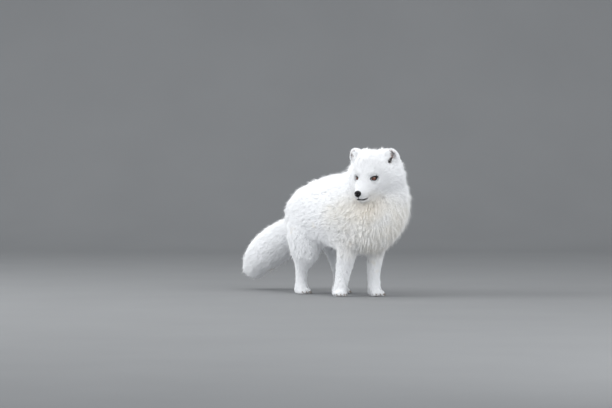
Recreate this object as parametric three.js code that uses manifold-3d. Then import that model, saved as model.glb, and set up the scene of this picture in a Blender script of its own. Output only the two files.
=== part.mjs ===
// A life-size arctic fox in its winter coat, standing with the head turned to its right.
// Every size is in millimetres and reaches to the tips of the fur. +X is the way the trunk
// faces, +Y is the fox's left and +Z is up. The soles stand on Z = 0, and the origin is the
// middle of the model's box at that level.
//
// Body parts are lofts of oval rings along a bone line. Where two parts meet, one is cut by
// the other grown by GAP, so that they lie face to face without touching.
import * as THREE from "three";
import { mergeVertices } from "three/addons/utils/BufferGeometryUtils.js";
import Module from "manifold-3d";

const wasm = await Module();
wasm.setup();

// ---------------------------------------------------------------- driving dimensions
const GAP = 0.4; // clear space between neighbouring parts
const UP = new THREE.Vector3(0, 0, 1);
const FORWARD = new THREE.Vector3(1, 0, 0);
const SIDES = { left: 1, right: -1 };

const HEAD = {
  eyeLine: new THREE.Vector3(190, -58, 327), // midway between the eyes
  turn: -64, // degrees from +X, negative to the fox's right
  nod: 19, // degrees that the muzzle tips down
};
const EYE = { radius: 9, forward: -5, apart: 22, outward: 38, slitWidth: 10.5, slitHeight: 6.2 };
const EAR = {
  forward: -64, apart: 52, height: 31, // middle of the cup, from the eye line
  outward: 15, lean: 11, // degrees
  depth: 13, halfWidth: 23.5, halfHeight: 34,
  wall: 7.5,
};
const NOSE = { forward: 55.5, height: -24.5, length: 7.5, halfWidth: 9.2, halfHeight: 7.4, nostril: 2.3 };
const PAW = { halfLength: 25, halfWidth: 19, height: 17, toeLength: 11.5, toeWidth: 7.8, toeHeight: 9.5 };
const CLAW = { length: 9, radius: 1.7, lift: 5.2 };
const FUR_COLOUR = 0xf1f0ec;

// ---------------------------------------------------------------- rings along a bone line
// Trunk, from rump to chest: [x, y, z, half-width, rise above the line, drop below it].
const TRUNK = [
  [-192, 0, 206, 60, 54, 54],
  [-165, 0, 214, 80, 73, 80],
  [-130, 0, 221, 90, 86, 92],
  [-85, 0, 226, 95, 97, 95],
  [-35, 0, 229, 100, 104, 97],
  [20, 0, 228, 105, 111, 104],
  [65, 0, 226, 106, 111, 114],
  [100, 0, 222, 96, 102, 108],
  [126, 0, 218, 75, 80, 78],
];
const TRUNK_CUTS = [-95, 20]; // x of the cuts between rump, loin and chest

// Mane of the neck, from the breast up to the nape: horizontal ovals
// [x, y, z, half-width to the left and right, reach forward, reach back].
const NECK = [
  [90, 4, 144, 54, 52, 60],
  [102, 7, 170, 77, 78, 82],
  [114, 11, 205, 96, 96, 92],
  [124, 16, 250, 104, 103, 98],
  [124, 21, 290, 98, 96, 96],
  [122, 27, 325, 83, 84, 88],
  [124, 27, 355, 72, 72, 78],
  [128, 24, 377, 55, 55, 60],
];

// Tail, from inside the rump to the brush's tip.
const TAIL = [
  [-165, 0, 200, 40, 38, 40],
  [-210, -2, 178, 46, 45, 46],
  [-262, -6, 154, 52, 52, 52],
  [-315, -12, 127, 56, 56, 56],
  [-360, -20, 99, 53, 53, 53],
  [-386, -26, 73, 44, 43, 42],
  [-399, -29, 50, 33, 32, 30],
];
const TAIL_CUT = { at: new THREE.Vector3(-296, -10, 137), along: new THREE.Vector3(-0.88, -0.12, -0.46) };

// Legs, from inside the trunk down to the ankle: ovals across the bone
// [x, y, z, half-width to the left and right, reach forward, reach back].
const LEGS = {
  fore_right: {
    rings: [
      [84, -44, 205, 40, 46, 46],
      [80, -42, 160, 35, 38, 38],
      [76, -38, 118, 29, 30, 30],
      [64, -39.5, 80, 23, 23, 24],
      [57, -40.5, 50, 20.5, 20.5, 21],
      [51, -44, 22, 19, 20, 19],
    ],
    cuts: [98, 30],
    paw: { x: 48, y: -46, turn: -20 },
  },
  fore_left: {
    rings: [
      [86, 42, 205, 40, 46, 46],
      [93, 47, 160, 33, 35, 38],
      [97, 45, 118, 25, 25, 28],
      [91, 43.5, 80, 20.5, 20.5, 22],
      [89, 43.5, 50, 18.5, 19, 19],
      [91, 43, 22, 18.5, 19.5, 18.5],
    ],
    cuts: [98, 30],
    paw: { x: 96, y: 43, turn: -6 },
  },
  hind_right: {
    rings: [
      [-120, -36, 232, 40, 52, 50],
      [-102, -54, 182, 46, 64, 62],
      [-102, -55, 142, 42, 62, 60],
      [-104, -54, 110, 36, 50, 50],
      [-116, -53, 84, 22, 28, 30],
      [-124, -52, 52, 15.5, 16, 17],
      [-123, -52, 22, 18, 19, 18],
    ],
    cuts: [104, 30],
    paw: { x: -122, y: -52, turn: -6 },
  },
  hind_left: {
    rings: [
      [-122, 36, 232, 40, 52, 50],
      [-108, 54, 182, 42, 58, 58],
      [-100, 54, 142, 37, 50, 52],
      [-98, 50, 112, 27, 34, 40],
      [-94, 48, 86, 18, 19, 23],
      [-84, 47, 54, 15.5, 16, 17],
      [-80, 47, 22, 18, 19, 18],
    ],
    cuts: [104, 30],
    paw: { x: -77, y: 47, turn: 4 },
  },
};

// Head, in its own frame: x runs forward from the eye line, y to the left and z up.
const SKULL = [
  [54, 0, -31, 13.5, 13, 12.5],
  [44, 0, -30, 17, 15.5, 15.5],
  [30, 0, -28, 20.5, 18.5, 18.5],
  [16, 0, -26, 26, 24.5, 22],
  [4, 0, -24, 35, 34, 29],
  [-8, 0, -22, 46, 45, 42],
  [-24, 0, -20, 60, 61, 54],
  [-44, 0, -18, 74, 72, 60],
  [-66, 0, -16, 82, 77, 62],
  [-90, 0, -12, 76, 69, 58],
];
const JAW = [
  [45, 0, -47, 10.5, 6, 6.5],
  [35, 0, -47.5, 14.5, 8, 8.5],
  [18, 0, -49, 21, 9, 11.5],
  [2, 0, -50, 29, 12, 15],
  [-14, 0, -51, 38, 14, 19],
];
const MUZZLE_CUT = 14; // x of the cut between muzzle and head

// ---------------------------------------------------------------- helpers
const radians = (degrees) => (degrees * Math.PI) / 180;

function solidOf(geometry) {
  const bare = geometry.clone();
  bare.deleteAttribute("normal");
  bare.deleteAttribute("uv");
  const merged = mergeVertices(bare, 1e-3);
  const solid = new wasm.Manifold(
    new wasm.Mesh({
      numProp: 3,
      vertProperties: merged.attributes.position.array,
      triVerts: new Uint32Array(merged.index.array),
    }),
  );
  return solid;
}

function geometryOf(solid) {
  const { vertProperties, triVerts } = solid.getMesh();
  const geometry = new THREE.BufferGeometry();
  geometry.setAttribute("position", new THREE.BufferAttribute(vertProperties, 3));
  geometry.setIndex(new THREE.BufferAttribute(triVerts, 1));
  geometry.computeVertexNormals();
  return geometry;
}

// A closed loft through oval rings that are square to the bone line. `rise` points to the
// side of each ring that its fifth number measures, and `domes` are the lengths of the
// rounded ends.
function loft(rows, { sides, steps, rise = UP, domes = [10, 10], domeRings = 3, grow = 0, place }) {
  const line = new THREE.CatmullRomCurve3(rows.map(([x, y, z]) => new THREE.Vector3(x, y, z)));
  const sizes = new THREE.CatmullRomCurve3(rows.map((row) => new THREE.Vector3(...row.slice(3))));
  const points = [];

  function ring(t, push, scale) {
    const tangent = line.getTangent(t);
    const across = new THREE.Vector3().crossVectors(rise, tangent).normalize();
    const over = new THREE.Vector3().crossVectors(tangent, across);
    const centre = line.getPoint(t).addScaledVector(tangent, push);
    const [half, above, below] = sizes.getPoint(t).addScalar(grow).multiplyScalar(scale).toArray();
    for (let i = 0; i < sides; i++) {
      const angle = (2 * Math.PI * i) / sides;
      const height = Math.sin(angle) * (Math.sin(angle) > 0 ? above : below);
      points.push(
        centre.clone().addScaledVector(across, Math.cos(angle) * half).addScaledVector(over, height),
      );
    }
  }

  const pole = (t, push) => line.getPoint(t).addScaledVector(line.getTangent(t), push);
  for (let k = domeRings - 1; k > 0; k--) {
    const angle = (Math.PI / 2) * (k / domeRings);
    ring(0, -(domes[0] + grow) * Math.sin(angle), Math.cos(angle));
  }
  for (let k = 0; k <= steps; k++) ring(k / steps, 0, 1);
  for (let k = 1; k < domeRings; k++) {
    const angle = (Math.PI / 2) * (k / domeRings);
    ring(1, (domes[1] + grow) * Math.sin(angle), Math.cos(angle));
  }
  const rings = points.length / sides;
  const first = points.push(pole(0, -(domes[0] + grow))) - 1;
  const last = points.push(pole(1, domes[1] + grow)) - 1;

  const faces = [];
  for (let i = 0; i < sides; i++) {
    const j = (i + 1) % sides;
    faces.push(first, j, i);
    for (let r = 0; r < rings - 1; r++) {
      const [a, b] = [r * sides + i, r * sides + j];
      faces.push(a, b, b + sides, a, b + sides, a + sides);
    }
    faces.push(last, (rings - 1) * sides + i, (rings - 1) * sides + j);
  }
  const geometry = new THREE.BufferGeometry().setFromPoints(points);
  geometry.setIndex(faces);
  if (place) geometry.applyMatrix4(place);
  return solidOf(geometry);
}

function ellipsoid([x, y, z], place, [columns, rows] = [14, 10]) {
  const geometry = new THREE.SphereGeometry(1, columns, rows).scale(x, y, z);
  return solidOf(geometry.applyMatrix4(place));
}

// A turn about Z, then a tilt about Y, then a roll about X, at a place.
function placed(x, y, z, { turn = 0, tilt = 0, roll = 0 } = {}) {
  const angles = new THREE.Euler(radians(roll), radians(tilt), radians(turn), "ZYX");
  return new THREE.Matrix4().makeRotationFromEuler(angles).setPosition(x, y, z);
}

// The part of a solid on the side of a plane that `normal` points to.
function keepBeyond(solid, point, normal) {
  const SIZE = 2000;
  const away = normal.clone().normalize();
  const toward = new THREE.Quaternion().setFromUnitVectors(UP, away);
  const block = new THREE.BoxGeometry(SIZE, SIZE, SIZE);
  const centre = point.clone().addScaledVector(away, (GAP - SIZE) / 2);
  block.applyMatrix4(new THREE.Matrix4().compose(centre, toward, new THREE.Vector3(1, 1, 1)));
  return solid.subtract(solidOf(block));
}

// The two parts of a solid that a thin cut leaves, the one that `normal` points to first.
function parted(solid, point, normal) {
  return [keepBeyond(solid, point, normal), keepBeyond(solid, point, normal.clone().negate())];
}

const without = (solid, cutters) => cutters.reduce((left, cutter) => left.subtract(cutter), solid);
const joined = (solids) => solids.reduce((whole, solid) => whole.add(solid));

// ---------------------------------------------------------------- the fox
const fox = new THREE.Group();
const materials = {
  coat: new THREE.MeshStandardMaterial({ color: FUR_COLOUR, roughness: 0.95 }),
  eye: new THREE.MeshStandardMaterial({ color: 0x6b3a1c, roughness: 0.08 }),
  nose: new THREE.MeshStandardMaterial({ color: 0x17161a, roughness: 0.4 }),
  claw: new THREE.MeshStandardMaterial({ color: 0x5c5048, roughness: 0.45 }),
};

function addNode(name, solid, material = materials.coat) {
  const mesh = new THREE.Mesh(geometryOf(solid), material);
  mesh.name = name;
  fox.add(mesh);
}

const trunkLoft = (grow) => loft(TRUNK, { sides: 20, steps: 9, domes: [20, 24], grow });
const neckLoft = (grow) =>
  loft(NECK, { sides: 20, steps: 8, rise: FORWARD, domes: [12, 14], grow });

function makeTrunk() {
  const [behind, front] = TRUNK_CUTS.map((x) => new THREE.Vector3(x, 0, 0));
  const [forward, rump] = parted(trunkLoft(0), behind, FORWARD);
  const [chest, loin] = parted(forward, front, FORWARD);
  addNode("rump", rump);
  addNode("loin", loin);
  addNode("chest", chest);
}

function makeTail() {
  const whole = loft(TAIL, { sides: 14, steps: 8, domes: [10, 16] }).subtract(trunkLoft(GAP));
  const [brush, base] = parted(whole, TAIL_CUT.at, TAIL_CUT.along);
  addNode("tail_base", base);
  addNode("tail_brush", brush);
}

// The head's parts share one frame, set at the eye line.
const { eyeLine } = HEAD;
const headPlace = placed(eyeLine.x, eyeLine.y, eyeLine.z, { turn: HEAD.turn, tilt: HEAD.nod });
const inHead = (local) => headPlace.clone().multiply(local);
const headForward = new THREE.Vector3(1, 0, 0).transformDirection(headPlace);
const skullLoft = (grow) =>
  loft(SKULL, { sides: 20, steps: 10, domes: [4, 22], domeRings: 2, grow, place: headPlace });

function earPlace(side, push = 0) {
  const { forward, apart, height, outward, lean } = EAR;
  const seat = placed(forward, side * apart, height, { turn: side * outward, roll: -side * lean });
  return inHead(seat.multiply(placed(push, 0, 0)));
}

function earCup(side) {
  const { depth, halfWidth, halfHeight, wall } = EAR;
  const outer = ellipsoid([depth, halfWidth, halfHeight], earPlace(side), [12, 9]);
  const bowl = [depth + 2, halfWidth - wall + 1, halfHeight - wall + 2];
  return outer.subtract(ellipsoid(bowl, earPlace(side, wall + 3), [10, 7]));
}

function eyeSeat(side, { reach = 0 } = {}) {
  const { forward, apart, outward } = EYE;
  const seat = placed(forward, side * apart, 0, { turn: side * outward });
  return inHead(seat.multiply(placed(reach, 0, 0)));
}

function noseBall(grow) {
  const { forward, height, length, halfWidth, halfHeight } = NOSE;
  const sizes = [length + grow, halfWidth + grow, halfHeight + grow];
  return ellipsoid(sizes, inHead(placed(forward, 0, height)), [10, 7]);
}

function makeHead() {
  const eyes = Object.values(SIDES);
  const sockets = eyes.map((side) => {
    const room = EYE.radius + GAP;
    return ellipsoid([room, room, room], eyeSeat(side), [12, 8]);
  });
  const slits = eyes.map((side) =>
    ellipsoid([14, EYE.slitWidth, EYE.slitHeight], eyeSeat(side, { reach: EYE.radius + 5 }), [10, 6]),
  );
  const head = without(skullLoft(0), [neckLoft(GAP), ...sockets, ...slits, noseBall(GAP)]);
  const cut = new THREE.Vector3(MUZZLE_CUT, 0, 0).applyMatrix4(headPlace);
  const [muzzle, cranium] = parted(head, cut, headForward);
  addNode("head", cranium);
  addNode("muzzle", muzzle);

  const jaw = loft(JAW, { sides: 12, steps: 5, domes: [3, 8], domeRings: 2, place: headPlace });
  addNode("lower_jaw", without(jaw, [skullLoft(GAP), neckLoft(GAP)]));

  const nostrils = eyes.map((side) => {
    const { forward, length, height, nostril } = NOSE;
    const spot = placed(forward + length - 1, side * 4.6, height - 0.5);
    return ellipsoid([3, nostril, nostril * 0.8], inHead(spot), [7, 5]);
  });
  addNode("nose", without(noseBall(0), nostrils), materials.nose);

  for (const [name, side] of Object.entries(SIDES)) {
    const ball = ellipsoid([EYE.radius, EYE.radius, EYE.radius], eyeSeat(side), [12, 9]);
    addNode(`eye_${name}`, ball, materials.eye);
    const ear = without(earCup(side), [skullLoft(GAP), neckLoft(GAP)]);
    addNode(`ear_${name}`, ear);
  }
}

// Toes as [x, y] across the front of a paw whose middle is the origin.
const TOES = [
  [15, 13.5],
  [23, 5],
  [23, -5],
  [15, -13.5],
];

function pawSolid(spot) {
  const { halfLength, halfWidth, height, toeLength, toeWidth, toeHeight } = PAW;
  const seat = placed(spot.x, spot.y, 0, { turn: spot.turn });
  const at = (x, y, z) => seat.clone().multiply(placed(x, y, z));
  const pad = ellipsoid([halfLength, halfWidth, height], at(-3, 0, 13), [10, 6]);
  const toes = TOES.map(([x, y]) =>
    ellipsoid([toeLength, toeWidth, toeHeight], at(x, y, 8), [7, 4]),
  );
  return joined([pad, ...toes]);
}

// A curved, tapering claw in front of one toe.
function clawSolid(spot, [x, y]) {
  const { length, radius, lift } = CLAW;
  const tip = x + PAW.toeLength;
  const rows = [
    [tip + GAP + 0.6, y, lift + 1.6, radius, radius, radius],
    [tip + length * 0.45, y, lift + 1.2, radius * 0.8, radius * 0.8, radius * 0.8],
    [tip + length * 0.75, y, lift - 0.8, radius * 0.5, radius * 0.5, radius * 0.5],
    [tip + length, y, lift - 3.2, radius * 0.2, radius * 0.2, radius * 0.2],
  ];
  const place = placed(spot.x, spot.y, 0, { turn: spot.turn });
  return loft(rows, { sides: 5, steps: 2, domes: [0.4, 0.3], domeRings: 1, place });
}

function makeLeg(name, { rings, cuts, paw }) {
  const bones = loft(rings, { sides: 12, steps: 8, rise: FORWARD, domes: [10, 8], domeRings: 2 });
  const floor = new THREE.Vector3(0, 0, GAP / -2);
  const whole = keepBeyond(joined([bones, pawSolid(paw)]), floor, UP);
  const free = without(whole, [trunkLoft(GAP), neckLoft(GAP)]);
  const [kneeCut, ankleCut] = cuts.map((z) => new THREE.Vector3(0, 0, z));
  const [upper, below] = parted(free, kneeCut, UP);
  const [shank, foot] = parted(below, ankleCut, UP);
  const [limb, end] = name.split("_");
  addNode(`${limb}leg_${end}_upper`, upper);
  addNode(`${limb}leg_${end}_lower`, shank);
  addNode(`${limb}paw_${end}`, foot);
  TOES.forEach((toe, i) => addNode(`claw_${name}_${i + 1}`, clawSolid(paw, toe), materials.claw));
}

makeTrunk();
addNode("neck", neckLoft(0).subtract(trunkLoft(GAP)));
makeTail();
makeHead();
for (const [name, leg] of Object.entries(LEGS)) makeLeg(name, leg);

// The origin is under the middle of the model's box.
const box = new THREE.Box3().setFromObject(fox);
const middle = box.getCenter(new THREE.Vector3());
fox.position.set(-middle.x, -middle.y, -box.min.z);

export default fox;
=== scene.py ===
# %% [markdown]
# # Arctic fox in its winter coat
# A real fox is a slim animal inside a very deep coat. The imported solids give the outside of
# that coat. This lesson makes the rest from them: one skin that lies inside the solids by the
# depth of the fur, the eyes, nose and lips that the skin carries, and then the coat itself,
# lock by lock. Everything is in metres: +X is the way the trunk faces, +Y the fox's left and
# +Z up.

# %% Load the fixed frame
import json
import math
import time

import bmesh
import bpy
import numpy as np
from mathutils import Matrix, Vector
from mathutils.bvhtree import BVHTree
from mathutils.kdtree import KDTree


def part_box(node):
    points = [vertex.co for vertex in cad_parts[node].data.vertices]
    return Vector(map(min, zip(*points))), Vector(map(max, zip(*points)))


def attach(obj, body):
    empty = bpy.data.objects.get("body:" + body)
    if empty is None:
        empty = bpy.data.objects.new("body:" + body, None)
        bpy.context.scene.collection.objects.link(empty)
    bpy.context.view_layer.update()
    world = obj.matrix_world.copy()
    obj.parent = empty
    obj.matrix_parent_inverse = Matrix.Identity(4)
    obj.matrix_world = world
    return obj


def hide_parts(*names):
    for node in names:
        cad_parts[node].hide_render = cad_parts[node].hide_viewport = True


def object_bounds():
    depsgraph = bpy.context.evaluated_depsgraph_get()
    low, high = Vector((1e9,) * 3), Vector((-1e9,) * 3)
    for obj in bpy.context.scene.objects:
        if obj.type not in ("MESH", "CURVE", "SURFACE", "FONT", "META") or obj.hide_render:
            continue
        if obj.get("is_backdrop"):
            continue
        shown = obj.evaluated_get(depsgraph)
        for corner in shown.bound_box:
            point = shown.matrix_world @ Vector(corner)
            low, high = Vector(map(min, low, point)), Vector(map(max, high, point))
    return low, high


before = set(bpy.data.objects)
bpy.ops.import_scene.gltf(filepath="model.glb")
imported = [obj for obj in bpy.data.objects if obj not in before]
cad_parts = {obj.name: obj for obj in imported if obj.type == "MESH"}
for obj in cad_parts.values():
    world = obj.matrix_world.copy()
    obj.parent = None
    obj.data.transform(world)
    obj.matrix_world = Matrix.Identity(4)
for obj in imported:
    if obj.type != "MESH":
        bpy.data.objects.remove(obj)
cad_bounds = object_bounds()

MM = 0.001
started = time.time()
chance = np.random.default_rng(7)
print("the frame holds", len(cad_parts), "nodes")

# %% [markdown]
# ## Places to measure from
# The head is turned to the fox's right and tipped down, so its pieces are easier to place in
# a frame of its own: forward along the muzzle, left, and up. Its origin is midway between the
# eyes. The two numbers below are the same turn and nod that the solids have.


# %% The head's own frame
def centre_of(node):
    low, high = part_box(node)
    return (low + high) / 2


HEAD_TURN, HEAD_NOD = math.radians(-64), math.radians(19)
head_turn = Matrix.Rotation(HEAD_TURN, 4, "Z") @ Matrix.Rotation(HEAD_NOD, 4, "Y")
EYES = {"left": centre_of("eye_left"), "right": centre_of("eye_right")}
head_place = Matrix.Translation((EYES["left"] + EYES["right"]) / 2) @ head_turn
HEAD_FORWARD, HEAD_LEFT, HEAD_UP = (head_turn.col[i].to_3d() for i in range(3))
NOSE = centre_of("nose")
print("nose at", [round(v, 4) for v in NOSE], "in the head", (head_place.inverted() @ NOSE)[:])

# %% [markdown]
# ## The camera
# The camera comes first, so that every later step can be judged in the same picture. It looks
# from the fox's front right, a little above the height of its back, through a long lens from
# several metres away, as one watches a shy animal. The nose is the point that it is set by.

# %% Place the camera
LENS, SENSOR = 200 * MM, 36 * MM
CAMERA_AZIMUTH, CAMERA_ELEVATION, CAMERA_DISTANCE = math.radians(55), math.radians(1.5), 9.2
NOSE_RIGHT, NOSE_UP = 0.1402, 0.0271  # of the picture's middle

back = Vector((
    math.sin(CAMERA_AZIMUTH) * math.cos(CAMERA_ELEVATION),
    -math.cos(CAMERA_AZIMUTH) * math.cos(CAMERA_ELEVATION),
    math.sin(CAMERA_ELEVATION),
))
turn = (-back).to_track_quat("-Z", "Y")
right, up = turn @ Vector((1, 0, 0)), turn @ Vector((0, 1, 0))
camera = bpy.data.objects.new("camera", bpy.data.cameras.new("camera"))
bpy.context.scene.collection.objects.link(camera)
camera.data.lens, camera.data.sensor_width = LENS / MM, SENSOR / MM
camera.data.clip_end = 100
camera.rotation_mode = "QUATERNION"
camera.rotation_quaternion = turn
camera.location = NOSE - right * NOSE_RIGHT - up * NOSE_UP + back * CAMERA_DISTANCE
bpy.context.scene.camera = camera
print("camera at", [round(v, 3) for v in camera.location])

# %% [markdown]
# ## The outside of the coat
# The solids of the body are separate, with hair-thin gaps between them, and their facets are
# coarse. Copies of them are swollen by half a millimetre, so that the gaps close, and a voxel
# remesh turns them into one even surface. Sculptors do the same with a rough block-out. The
# eyes and nose are added for this step only, so that their seats fill up.


# %% Join the solids into one surface
def put(name, bm):
    """A new object from a bmesh, at the origin."""
    mesh = bpy.data.meshes.new(name)
    bm.to_mesh(mesh)
    bm.free()
    piece = bpy.data.objects.new(name, mesh)
    bpy.context.scene.collection.objects.link(piece)
    return piece


def applied(piece):
    """The piece with its modifiers made real."""
    graph = bpy.context.evaluated_depsgraph_get()
    mesh = bpy.data.meshes.new_from_object(piece.evaluated_get(graph))
    piece.modifiers.clear()
    old, piece.data = piece.data, mesh
    bpy.data.meshes.remove(old)
    return piece


SWELL, VOXEL = 0.5 * MM, 3.4 * MM
APART = ("eye_", "claw_", "nose")
flesh = [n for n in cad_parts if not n.startswith(APART)]
filling = [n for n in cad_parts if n.startswith(("eye_", "nose"))]
bm = bmesh.new()
for node in flesh + filling:
    bm.from_mesh(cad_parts[node].data)
bmesh.ops.remove_doubles(bm, verts=bm.verts, dist=0.01 * MM)
bm.normal_update()
for vert in bm.verts:
    vert.co += vert.normal * SWELL
skin = put("skin", bm)
remesh = skin.modifiers.new("even", "REMESH")
remesh.mode, remesh.voxel_size = "VOXEL", VOXEL
applied(skin)
print("the coat's outside has", len(skin.data.polygons), "faces")


# %% [markdown]
# ## Even out the joints of the body
# In the real coat nothing marks where the neck leaves the chest or the thigh leaves the belly,
# because the fur fills those creases. So the surface is relaxed: each point moves towards the
# middle of its neighbours. Outward moves count in full and inward moves much less, which
# fills the creases but keeps the bulges. Small parts such as ears, toes and muzzle are relaxed
# least, or they would melt away.


# %% A surface as arrays
class Surface:
    """A mesh's points as arrays, with what relaxing and combing them needs."""

    def __init__(self, mesh):
        mesh.calc_loop_triangles()
        self.count = len(mesh.vertices)
        self.edges = np.empty(len(mesh.edges) * 2, np.int32)
        mesh.edges.foreach_get("vertices", self.edges)
        self.edges = self.edges.reshape(-1, 2)
        self.faces = np.empty(len(mesh.loop_triangles) * 3, np.int32)
        mesh.loop_triangles.foreach_get("vertices", self.faces)
        self.faces = self.faces.reshape(-1, 3)
        self.degree = np.bincount(self.edges.ravel(), minlength=self.count).astype(float)

    def gather(self, index, values):
        """The sum of the values that land on each point."""
        columns = [np.bincount(index, column, self.count) for column in values.T]
        return np.stack(columns, 1)

    def average(self, values):
        """Each point's mean over its neighbours."""
        a, b = self.edges.T
        flat = values.reshape(self.count, -1)
        total = self.gather(a, flat[b]) + self.gather(b, flat[a])
        return (total / self.degree[:, None]).reshape(values.shape)

    def spread(self, values, rounds):
        for _ in range(rounds):
            values = self.average(values)
        return values

    def normals(self, points):
        a, b, c = (points[self.faces[:, k]] for k in range(3))
        across = np.cross(b - a, c - a)
        return unit(sum(self.gather(self.faces[:, k], across) for k in range(3)))


def unit(vectors):
    return vectors / np.maximum(np.linalg.norm(vectors, axis=-1, keepdims=True), 1e-12)


def points_of(mesh):
    points = np.empty(len(mesh.vertices) * 3, np.float32)
    mesh.vertices.foreach_get("co", points)
    return points.reshape(-1, 3).astype(float)


def set_points(mesh, points):
    mesh.vertices.foreach_set("co", points.astype(np.float32).ravel())
    mesh.update()


def nearest_nodes(points):
    """For each point, the place in `flesh` of the solid that it lies on."""
    solids = bmesh.new()
    owner = []
    for k, node in enumerate(flesh):
        solids.from_mesh(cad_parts[node].data)
        owner += [k] * (len(solids.faces) - len(owner))
    tree = BVHTree.FromBMesh(solids)
    found = np.array([owner[tree.find_nearest(p)[2]] for p in points])
    solids.free()
    return found


def by_node(rules, owner):
    """A value for each point from the first rule that its solid's name starts with."""
    table = [next(value for start, value in rules if node.startswith(start)) for node in flesh]
    return np.array(table, float)[owner]


surface = Surface(skin.data)
outside = points_of(skin.data)
print("a surface of", surface.count, "points and", len(surface.faces), "triangles")

# %% Relax the creases
owner = nearest_nodes(outside)
RELAX = [("ear", 0.06), ("muzzle", 0.12), ("lower_jaw", 0.12), ("head", 0.35),
         ("forepaw", 0.06), ("hindpaw", 0.06), ("foreleg", 0.5), ("hindleg", 0.5), ("", 1.0)]
ease = surface.spread(by_node(RELAX, owner), 3)[:, None]
CREASE_ROUNDS, PACE, INWARD = 60, 0.8, 0.3  # how often, how far each time, and less inwards
for _ in range(CREASE_ROUNDS):
    step = surface.average(outside) - outside
    outward = (step * surface.normals(outside)).sum(1, keepdims=True) > 0
    outside += PACE * step * ease * np.where(outward, 1, INWARD)
set_points(skin.data, outside)
print(f"relaxed {CREASE_ROUNDS} times, {time.time() - started:.0f} s so far")

# %% [markdown]
# ## The face gets finer points
# An even mesh spends as much on the flank as on the eyelids. Lids, lips and nostrils need
# points a millimetre apart, so the face alone is subdivided, once over the whole face and once
# more round the eyes and mouth. Before that, the eye slits are closed by a film: points near an
# eye are relaxed until they span the hole like a soap skin. The eyelids are shaped on that film
# later.

# %% Close the eye slits with a film
EYE_RADIUS, EYE_OUTWARD = 9.0 * MM, math.radians(38)
SIDES = {"left": 1, "right": -1}


def eye_frame(name):
    """Rows that measure out of the eye, towards its outer corner, and up."""
    side = SIDES[name]
    out = HEAD_FORWARD * math.cos(EYE_OUTWARD) + HEAD_LEFT * side * math.sin(EYE_OUTWARD)
    corner = HEAD_LEFT * side * math.cos(EYE_OUTWARD) - HEAD_FORWARD * math.sin(EYE_OUTWARD)
    return np.array([out, corner, HEAD_UP])


def in_eye(name, points):
    return (points - np.array(EYES[name])) @ eye_frame(name).T


def smooth(value, low, high):
    """0 below low, 1 above high, and an even slope between."""
    t = np.clip((value - low) / (high - low), 0, 1)
    return t * t * (3 - 2 * t)


FILM_REACH, FILM_ROUNDS = 17 * MM, 80
for name in EYES:
    local = in_eye(name, outside)
    film = (np.hypot(local[:, 1], local[:, 2]) < FILM_REACH) & (local[:, 0] > -FILM_REACH / 2)
    for _ in range(FILM_ROUNDS):
        outside[film] = surface.average(outside)[film]
set_points(skin.data, outside)
print("the eyes are", round((EYES["left"] - EYES["right"]).length / MM), "mm apart, under a film")


# %% Subdivide the face
def in_head(points):
    """Points in the head's frame: forward, left and up from midway between the eyes."""
    origin = np.array(head_place.translation)
    return (points - origin) @ np.array(head_turn.to_3x3())


def refine(piece, near):
    bm = bmesh.new()
    bm.from_mesh(piece.data)
    chosen = near(points_of(piece.data))
    edges = [e for e in bm.edges if chosen[e.verts[0].index] and chosen[e.verts[1].index]]
    bmesh.ops.subdivide_edges(bm, edges=edges, cuts=1, use_grid_fill=True, smooth=0.6)
    bmesh.ops.triangulate(bm, faces=[f for f in bm.faces if len(f.verts) > 4])
    bm.to_mesh(piece.data)
    bm.free()
    return len(edges)


def whole_face(points):
    x, y, z = in_head(points).T / MM
    return np.hypot(np.hypot(x - 15, y), z + 20) < 62


def eyes_and_mouth(points):
    x, y, z = in_head(points).T / MM
    mouth = (x > 0) & (x < 62) & (z < -22) & (z > -62)
    eyes = [np.linalg.norm(in_eye(name, points), axis=1) < 19 * MM for name in EYES]
    return mouth | eyes[0] | eyes[1]


for area in (whole_face, eyes_and_mouth):
    print(area.__name__, "splits", refine(skin, area), "edges")
surface = Surface(skin.data)
outside = points_of(skin.data)
owner = nearest_nodes(outside)
FACE_ROUNDS = 8
face_ease = (0.5 * whole_face(outside))[:, None]
for _ in range(FACE_ROUNDS):
    outside += face_ease * (surface.average(outside) - outside)
print("the skin has", len(surface.faces), "triangles")

# %% [markdown]
# ## Round off the back of the jaw
# Where the jaw's solid ends in the fur of the throat it leaves a thin edge, which would fold
# when the skin is moved in. That edge is relaxed on its own, until it is a soft swelling.

# %% Relax the jaw's back edge
JAW_ROUNDS = 140
x, y, z = in_head(outside).T / MM
jaw_edge = np.hypot(np.hypot((x - 2) / 24, (np.abs(y) - 24) / 20), (z + 48) / 20)
jaw_edge = (1 - smooth(jaw_edge, 0.8, 1.25))[:, None]
for _ in range(JAW_ROUNDS):
    outside += 0.9 * jaw_edge * (surface.average(outside) - outside)
print("jaw relaxed on", int((jaw_edge > 0.5).sum()), "points")

# %% [markdown]
# ## Brows, whisker pads and the ears' feet
# The solids give the head its size and direction, but a fox's face also has soft forms on top:
# a brow over each eye, a dip in front of the inner corner, and a padded upper lip that the
# whiskers grow from. Thick fur fills the crown between and behind the ears, so that the ears
# hardly stand clear of it. Each form is a smooth swelling or hollow, strongest at its middle.


# %% Swell and hollow the face
def swell(points, middle, size, height):
    """Height at a middle in the head's frame, fading over size, in millimetres."""
    away = in_head(points) / MM - middle
    return height * MM * np.exp(-(away ** 2).sum(1) / (2 * size ** 2))


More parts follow.
